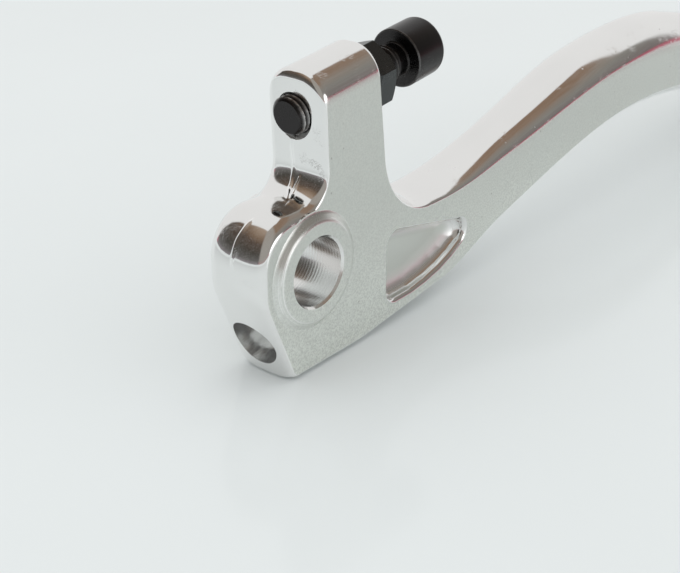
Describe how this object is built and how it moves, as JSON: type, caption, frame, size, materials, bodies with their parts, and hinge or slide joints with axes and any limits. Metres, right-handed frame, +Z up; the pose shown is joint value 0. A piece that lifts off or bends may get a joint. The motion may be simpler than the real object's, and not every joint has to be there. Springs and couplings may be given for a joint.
{
  "type": "brake lever",
  "caption": "Forged hand brake lever with a pivot bore, a pocketed web, a curved ball-ended blade and a threaded adjuster screw held by a lock nut.",
  "frame": {"origin": "middle of the pivot bore, halfway between its two lands", "axes": "+X from the pivot along the blade, +Y along the pivot bore, +Z up the adjuster arm"},
  "size_m": [0.1762, 0.016, 0.0401],
  "materials": {
    "forging": "satin flat faces with polished edges",
    "black_steel": "black oxide"
  },
  "bodies": {
    "lever": {"lever": "forging"},
    "adjuster": {"adjuster_screw": "black_steel"},
    "nut": {"lock_nut": "black_steel"}
  },
  "joints": [
    {"name": "adjuster_travel", "type": "slide", "parent": "lever", "child": "adjuster", "axis": [0.9925, 0, 0.1219], "range_m": [-0.004, 0.003]},
    {"name": "lock_nut_travel", "type": "slide", "parent": "lever", "child": "nut", "axis": [0.9925, 0, 0.1219], "range_m": [0, 0.0008]}
  ]
}
